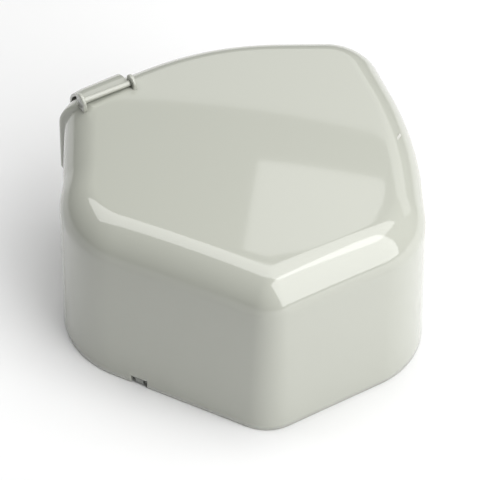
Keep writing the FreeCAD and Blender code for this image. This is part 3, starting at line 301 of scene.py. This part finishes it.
weave(0, len(outer_rings), False)
inner_start = len(outer_rings) * columns + 1
weave(inner_start, len(inner_rings), True)
for col in range(columns):
    nxt = (col + 1) % columns
    faces.append([nxt, col, inner_start + col, inner_start + nxt])
cover = piece("cover_shell", points / 1000.0, faces, cover_white)


def beside_flap(points):
    """From the flap's own frame, X along the rear wall and Y out of it, to the housing's frame."""
    origin = corner_l + back_dir * FLAP_ALONG
    flat = origin + points[:, :1] * back_dir + points[:, 1:2] * leaf_out
    return np.concatenate([flat, points[:, 2:]], 1)


def cutter(name, low, high, turned=False):
    corners = [(x, y, z) for z in (low[2], high[2]) for y in (low[1], high[1]) for x in (low[0], high[0])]
    corners = np.array(corners)
    if turned:
        corners = beside_flap(corners)
    sides = [(0, 2, 3, 1), (4, 5, 7, 6), (0, 1, 5, 4), (2, 6, 7, 3), (0, 4, 6, 2), (1, 3, 7, 5)]
    tool = piece(name, corners / 1000.0, sides, cover_white, smooth=False)
    cut = cover.modifiers.new(name, "BOOLEAN")
    cut.operation = "DIFFERENCE"
    cut.solver = "MANIFOLD"
    cut.object = tool
    return tool


tools = [cutter("rail_door", (9.0, 97.0, -5), (59.0, 201.0, 47.6)),
         cutter("inlet_door", (-46.0, 107.0, -5), (-18.0, 177.0, 28.1)),
         cutter("latch_notch", (-23.5, -129.0, -5), (-10.5, -117.0, 7.0)),
         cutter("button_window", (-13.0, -20.0, 71.0), (13.0, 10.0, 97.0), turned=True)]
bpy.context.view_layer.objects.active = cover
depsgraph = bpy.context.evaluated_depsgraph_get()
carved = bpy.data.meshes.new_from_object(cover.evaluated_get(depsgraph))
cover.modifiers.clear()
cover.data = carved
for tool in tools:
    bpy.data.objects.remove(tool, do_unlink=True)
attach(cover, "cover")
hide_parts("top_cover")


# Rounded bars and blocks for the small fittings.
# A block has its long edges eased; a rod runs between two points with a slightly eased rim.
def eased_block(name, low, high, ease, material, place=None):
    work = bmesh.new()
    bmesh.ops.create_cube(work, size=1.0)
    low, high = np.array(low, float), np.array(high, float)
    for v in work.verts:
        spot = np.array(v.co) + 0.5
        v.co = Vector(low + spot * (high - low))
    bmesh.ops.bevel(work, geom=work.edges[:], offset=ease, segments=3, profile=0.5, affect="EDGES")
    points = np.array([v.co[:] for v in work.verts])
    faces = [[v.index for v in f.verts] for f in work.faces]
    work.free()
    return piece(name, (points if place is None else place(points)) / 1000.0, faces, material)


def lathe_x(name, spot, profile, material, place=None, steps=48):
    """Turns a list of (along, radius) round a line parallel to X through the spot."""
    profile = np.array(profile, float)
    angle = np.linspace(0, 2 * math.pi, steps, endpoint=False)
    x = np.repeat(profile[:, 0], steps) + spot[0]
    y = np.outer(profile[:, 1], np.cos(angle)).ravel() + spot[1]
    z = np.outer(profile[:, 1], np.sin(angle)).ravel() + spot[2]
    points = np.stack([x, y, z], 1)
    faces = []
    for row in range(len(profile) - 1):
        for col in range(steps):
            nxt = (col + 1) % steps
            faces.append([row * steps + col, row * steps + nxt,
                          (row + 1) * steps + nxt, (row + 1) * steps + col])
    faces.append(list(range(steps))[::-1])
    faces.append([(len(profile) - 1) * steps + k for k in range(steps)])
    return piece(name, (points if place is None else place(points)) / 1000.0, faces, material)


# Hinge ears.
# Two half-round ears stand on the top face and carry the pin of the flap.
for side, label in ((-1, "front"), (1, "rear")):
    x = side * 20.0
    rim = [(-1.5, 4.6), (-1.35, 5.4), (-1.0, 5.8), (-0.6, 5.95)]
    disc = rim + [(-along, radius) for along, radius in reversed(rim)]
    ear = lathe_x(label + "_hinge_ear", (x, -PIN_INSET, PIN_HEIGHT), disc, cover_white, beside_flap)
    foot = eased_block(label + "_ear_foot", (x - 1.5, -39.9, 134.6), (x + 1.5, -28.1, PIN_HEIGHT), 0.5,
                       cover_white, beside_flap)
    for made in (ear, foot):
        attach(made, "cover")


# Ribs inside the cover.
# Thin stiffening ribs run under the top, so the lifted cover isn't bare.
rib_white = finish_of("rib_white", (0.60, 0.60, 0.56), 0.35, grain=80, bump=0.02, spread=0.02)
for count, x in enumerate((-60.0, -20.0, 20.0, 60.0, 100.0)):
    span = np.linspace(-60, 60, 41)
    tops = top_height(np.full_like(span, x), span, WALL)
    points = []
    for y, z in zip(span, tops):
        for dx, dz in ((-0.7, 0.3), (0.7, 0.3), (0.5, -4.0), (-0.5, -4.0)):
            points.append((x + dx, y, z + dz))
    faces = [[0, 1, 2, 3], [160, 163, 162, 161]]
    for k in range(40):
        for j in range(4):
            nxt = (j + 1) % 4
            faces.append([4 * k + j, 4 * k + 4 + j, 4 * k + 4 + nxt, 4 * k + nxt])
    rib = piece("top_rib_%d" % (count + 1), np.array(points) / 1000.0, faces, rib_white, smooth=False)
    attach(rib, "cover")


# Finishes of the carried-over pieces, by material slot.
# Metals get brushed or cast grain, plastics a fine texture, windings a wound look.
slots = {s["node"]: s["material_slot"] for s in frame["record"]["subparts"]}
finishes = {
    "gloss_white": cover_white,
    "tab_grey": finish_of("latch grey", (0.30, 0.31, 0.29), 0.4, grain=120, bump=0.05),
    "steel": finish_of("bright steel", (0.55, 0.55, 0.56), 0.28, 1.0, 500, 0.05, 0.10, stretch=(1, 12, 12)),
    "zinc_plate": finish_of("zinc plate", (0.58, 0.59, 0.58), 0.38, 1.0, 220, 0.06, 0.14),
    "gear_nylon": finish_of("natural nylon", (0.76, 0.72, 0.58), 0.45, grain=150, bump=0.04),
    "sprocket_steel": finish_of("oiled steel", (0.20, 0.20, 0.21), 0.32, 1.0, 300, 0.08, 0.2),
    "case_aluminium": finish_of("cast aluminium", (0.52, 0.53, 0.54), 0.5, 1.0, 600, 0.25, 0.10),
    "bronze": finish_of("bronze", (0.60, 0.42, 0.20), 0.35, 1.0, 300, 0.05, 0.15),
    "can_paint": finish_of("dark paint", (0.05, 0.055, 0.06), 0.42, grain=500, bump=0.12, coat=0.2),
    "magnet": finish_of("ferrite", (0.06, 0.06, 0.065), 0.7, grain=700, bump=0.2),
    "lamination": finish_of("sheet stack", (0.22, 0.22, 0.23), 0.45, 0.9, 900, 0.5, 0.2, stretch=(6, 0.3, 0.3)),
    "copper": finish_of("enamelled copper", (0.62, 0.24, 0.09), 0.3, 0.9, 900, 0.5, 0.2, stretch=(6, 1, 1)),
    "coil_wrap": finish_of("yellow tape", (0.72, 0.50, 0.08), 0.35, grain=500, bump=0.3, stretch=(0.3, 0.3, 6)),
    "black_plastic": finish_of("black plastic", (0.02, 0.02, 0.022), 0.4, grain=500, bump=0.1, spread=0.2),
    "porcelain": finish_of("ivory plastic", (0.72, 0.69, 0.60), 0.25, grain=120, bump=0.02, spread=0.03),
    "lamp_metal": finish_of("lamp cap metal", (0.65, 0.65, 0.63), 0.3, 1.0, 500, 0.1, stretch=(1, 1, 8)),
    "board_green": finish_of("board lacquer", (0.015, 0.13, 0.05), 0.2, grain=900, bump=0.15, spread=0.35),
    "relay_blue": finish_of("relay blue", (0.03, 0.10, 0.36), 0.3, grain=300, bump=0.03),
    "button_grey": finish_of("button grey", (0.30, 0.31, 0.32), 0.4, grain=300, bump=0.05),
    "button_amber": finish_of("button amber", (0.80, 0.36, 0.03), 0.35, grain=300, bump=0.05),
}
glass = finish_of("clear glass", (0.96, 0.97, 0.97), 0.03, grain=40, bump=0.0, spread=0.005)
glass.node_tree.nodes["Principled BSDF"].inputs["Transmission Weight"].default_value = 1.0
glass.node_tree.nodes["Principled BSDF"].inputs["IOR"].default_value = 1.46
finishes["lamp_glass"] = glass
for name, node in nodes.items():
    if name in slots and node.type == "MESH" and name != "top_cover":
        node.data.materials.clear()
        node.data.materials.append(finishes[slots[name]])


# Small parts of the control board.
# Rows of chip parts with pale solder ends stand on the board's top face.
# Raised copper tracks join them.
def many_blocks(name, spots, size, material):
    points, faces = [], []
    for x, y, z in spots:
        start = len(points)
        for dz in (0, size[2]):
            for dx, dy in ((-1, -1), (1, -1), (1, 1), (-1, 1)):
                points.append((x + dx * size[0] / 2, y + dy * size[1] / 2, z + dz))
        for quad in ((3, 2, 1, 0), (4, 5, 6, 7), (0, 1, 5, 4), (1, 2, 6, 5), (2, 3, 7, 6), (3, 0, 4, 7)):
            faces.append([start + k for k in quad])
    made = piece(name, np.array(points) / 1000.0, faces, material, smooth=False)
    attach(made, "chassis")
    return made


board_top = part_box("control_board")[1][2] * 1000.0
chip_black = finish_of("chip_black", (0.03, 0.03, 0.032), 0.35, grain=500, bump=0.05)
solder = finish_of("solder", (0.70, 0.70, 0.68), 0.25, 1.0, 500, 0.1)
track_green = finish_of("track_green", (0.03, 0.22, 0.09), 0.2, grain=500, bump=0.05)
rows = [(x, -83.5, board_top) for x in np.arange(-48, 58, 4.2)]
rows += [(56.0, y, board_top) for y in np.arange(-68, -33, 4.2)]
rows += [(-56.5, y, board_top) for y in np.arange(-76, -36, 4.2)]
many_blocks("chip_parts", rows, (1.9, 1.2, 0.7), chip_black)
ends = [(x + side * 1.15, y, z) for x, y, z in rows for side in (-1, 1)]
many_blocks("chip_ends", ends, (0.5, 1.2, 0.75), solder)
many_blocks("cross_tracks", [(-22.0 + 9 * (k % 3), -57.5 - 1.3 * k, board_top) for k in range(3)]
            + [(0.0, -85.3 + 0.9 * k, board_top) for k in (0, 4)], (96.0, 0.5, 0.06), track_green)
many_blocks("long_tracks", [(x, -73.0, board_top) for x in np.arange(5.0, 12.5, 1.6)]
            + [(x, -70.0, board_top) for x in np.arange(-18.5, -13.0, 1.6)], (0.5, 22.0, 0.06), track_green)


# Round tubes along a line, for the spring's wire and the leads.
# Each ring stands on the line in the two directions given, and both ends are closed.
def tube(name, line, across, upward, radius, sides, material):
    angle = np.linspace(0, 2 * math.pi, sides, endpoint=False)
    points = (line[:, None] + radius * (np.cos(angle)[None, :, None] * across[:, None]
                                        + np.sin(angle)[None, :, None] * upward[:, None])).reshape(-1, 3)
    last = len(line) - 1
    faces = []
    for row in range(last):
        for col in range(sides):
            nxt = (col + 1) % sides
            faces.append([row * sides + col, row * sides + nxt, (row + 1) * sides + nxt, (row + 1) * sides + col])
    faces += [list(range(sides))[::-1], [last * sides + col for col in range(sides)]]
    return piece(name, points / 1000.0, faces, material)


def heading(line):
    """Unit direction of the line at each of its points."""
    along = np.gradient(line, axis=0)
    return along / np.linalg.norm(along, axis=1)[:, None]


# Latch spring.
# A round-wire coil between the latch tab and its keeper.
SPRING_X, SPRING_Z, COIL_R, WIRE_R = -17.0, 5.4, 1.7, 0.3
SPRING_FRONT, SPRING_BACK, SPRING_TURNS = -114.05, -109.4, 4
turn = np.linspace(0, 2 * math.pi * SPRING_TURNS, 40 * SPRING_TURNS + 1)
coil_out = np.stack([np.cos(turn), np.zeros_like(turn), np.sin(turn)], 1)
coil_line = COIL_R * coil_out
coil_line += np.stack([np.full_like(turn, SPRING_X), np.linspace(SPRING_FRONT, SPRING_BACK, len(turn)),
                       np.full_like(turn, SPRING_Z)], 1)
coil_side = np.cross(heading(coil_line), coil_out)
spring = tube("latch_coil", coil_line, coil_out, coil_side, WIRE_R, 10, finishes["steel"])
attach(spring, "chassis")
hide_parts("latch_spring")
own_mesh(spring)


# Insulated leads from the board: two to the motor, two supply leads and one to the lamp.
# Each lead is a smooth tube a little above the plate.
def lead(name, stops, radius, colour):
    stops = np.array(stops, float)
    fine = np.linspace(0, len(stops) - 1, 14 * (len(stops) - 1) + 1)
    path = np.zeros((len(fine), 3))
    for k, u in enumerate(fine):
        i = min(int(u), len(stops) - 2)
        f = u - i
        p0, p1, p2, p3 = stops[max(i - 1, 0)], stops[i], stops[i + 1], stops[min(i + 2, len(stops) - 1)]
        path[k] = 0.5 * (2 * p1 + (p2 - p0) * f + (2 * p0 - 5 * p1 + 4 * p2 - p3) * f ** 2
                         + (3 * p1 - p0 - 3 * p2 + p3) * f ** 3)
    along = heading(path)
    side = np.cross(along, [0.1, 0.2, 1.0])
    side /= np.linalg.norm(side, axis=1)[:, None]
    sheath = finish_of(name + "_sheath", colour, 0.35, grain=300, bump=0.05)
    wire = tube(name, path, side, np.cross(side, along), radius, 14, sheath)
    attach(wire, "chassis")


lead("red_motor_lead", [(-40, -88, 22), (-47, -80, 32), (-56, -66, 30), (-66, -48, 20),
                        (-80, -34, 14), (-88, -20, 24), (-89, -4, 34), (-86.6, 3, 40)], 1.1, (0.5, 0.02, 0.02))
lead("black_motor_lead", [(-33, -88, 22), (-42, -78, 35), (-52, -62, 33), (-69, -44, 24),
                          (-84, -30, 18), (-92, -16, 28), (-92, -2, 40), (-87, 6, 50)], 1.1, (0.02, 0.02, 0.02))
lead("blue_supply_lead", [(-6, -88, 22), (8, -78, 34), (30, -62, 50),
                          (58, -30, 48), (80, -16, 34), (84, -14, 26)], 1.2, (0.03, 0.10, 0.45))
lead("brown_supply_lead", [(0, -88, 22), (14, -80, 36), (40, -60, 52),
                           (66, -28, 52), (88, -16, 38), (92, -14, 28)], 1.2, (0.20, 0.08, 0.03))
lead("white_lamp_lead", [(-19, -88, 22), (0, -96, 34), (34, -84, 38),
                         (72, -60, 26), (84, -48, 16), (90, -46, 12)], 1.0, (0.60, 0.60, 0.57))


# Plain floor, studio lights and the camera.
# A pale sheet lies under the part, with large panels to the right, behind and overhead.
# A small box behind the part gives the window-like reflection on its top.
def flat_finish(name, colour, rough):
    material = bpy.data.materials.new(name)
    material.use_nodes = True
    shader = material.node_tree.nodes["Principled BSDF"]
    shader.inputs["Base Color"].default_value = (*colour, 1)
    shader.inputs["Roughness"].default_value = rough
    return material


REACH, UNDER = 6, -0.0005
sheet = [(-REACH, -REACH, UNDER), (REACH, -REACH, UNDER), (REACH, REACH, UNDER), (-REACH, REACH, UNDER)]
floor = piece("floor", sheet, [(0, 1, 2, 3)], flat_finish("floor paper", (0.88, 0.88, 0.88), 0.9), smooth=False)


def softbox(name, place, aim, width, depth, power):
    light = bpy.data.lights.new(name, "AREA")
    light.shape = "RECTANGLE"
    light.size, light.size_y = width, depth
    light.energy = power
    lamp = bpy.data.objects.new(name, light)
    lamp.location = place
    lamp.rotation_mode = "QUATERNION"
    lamp.rotation_quaternion = (Vector(aim) - Vector(place)).to_track_quat("-Z", "Y")
    bpy.context.collection.objects.link(lamp)


top_spot = Vector((0.074, -0.032, 0.140))
softbox("window box", top_spot + Vector((-0.165, 0.585, 0.795)) * 1.5, top_spot, 0.36, 0.33, 0.6)
softbox("right panel", top_spot + Vector((0.800, -0.170, 0.575)) * 1.4, top_spot, 1.1, 1.9, 24)
softbox("rear panel", (-0.3, 2.0, 1.35), (0, 0, 0.1), 4.5, 0.9, 12)
softbox("overhead panel", (-0.2, 0.28, 2.0), (-0.15, 0.1, 0), 3.4, 1.25, 38)
world = bpy.data.worlds.new("studio")
world.use_nodes = True
world.node_tree.nodes["Background"].inputs["Color"].default_value = (0.95, 0.97, 0.94, 1)
world.node_tree.nodes["Background"].inputs["Strength"].default_value = 0.06
bpy.context.scene.world = world
bpy.context.scene.view_settings.view_transform = "Standard"

eye, aim = Vector((0.3264, -0.6862, 0.8828)), Vector((0.0085, -0.0095, 0.0510))
camera = bpy.data.objects.new("camera", bpy.data.cameras.new("camera"))
camera.data.lens = 114.6
camera.data.sensor_width = 36.0
camera.location = eye
camera.rotation_mode = "QUATERNION"
camera.rotation_quaternion = (aim - eye).to_track_quat("-Z", "Y")
bpy.context.collection.objects.link(camera)
bpy.context.scene.camera = camera
